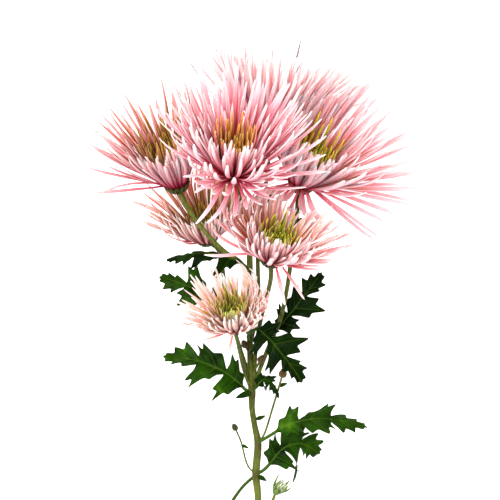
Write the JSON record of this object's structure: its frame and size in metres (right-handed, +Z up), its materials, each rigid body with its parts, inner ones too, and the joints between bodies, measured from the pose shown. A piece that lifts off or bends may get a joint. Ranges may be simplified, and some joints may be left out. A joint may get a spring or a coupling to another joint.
{
  "type": "spider chrysanthemum spray",
  "caption": "Cut spray of pink spider chrysanthemums with yellow-green eyes, small buds and lobed dark leaves on one branched stem, lying on its back.",
  "frame": {"origin": "on the table under the middle of the spray's footprint", "axes": "+Y along the stem towards the flower heads, +X across the spray to the right seen from above, +Z up off the table"},
  "size_m": [0.1708, 0.2862, 0.1313],
  "materials": {
    "stem": "fresh green stem, finely ridged and downy",
    "leaf": "fresh leaf, waxy satin above",
    "ray_floret": "soft translucent petal",
    "pale_ray_floret": "soft translucent petal",
    "golden_eye": "soft matt petal",
    "lime_eye": "soft matt petal",
    "bud_petal": "soft matt petal"
  },
  "bodies": {
    "root": {"stem": "stem", "rays_top": "ray_floret", "eye_top": "golden_eye", "rays_left": "ray_floret", "eye_left": "golden_eye", "rays_right": "ray_floret", "eye_right": "lime_eye", "rays_back": "ray_floret", "eye_back": "golden_eye", "rays_mid_left": "ray_floret", "eye_mid_left": "golden_eye", "rays_mid_right": "ray_floret", "eye_mid_right": "lime_eye", "rays_low": "pale_ray_floret", "eye_low": "lime_eye", "leaf_upper_left": "leaf", "leaf_mid_left": "leaf", "leaf_lower_left": "leaf", "leaf_upper_right": "leaf", "leaf_front_right": "leaf", "leaf_low_right": "leaf", "leaf_low_front": "leaf", "leaf_node_right": "leaf", "leaf_on_table": "leaf", "bud_petals": "bud_petal"}
  },
  "joints": []
}
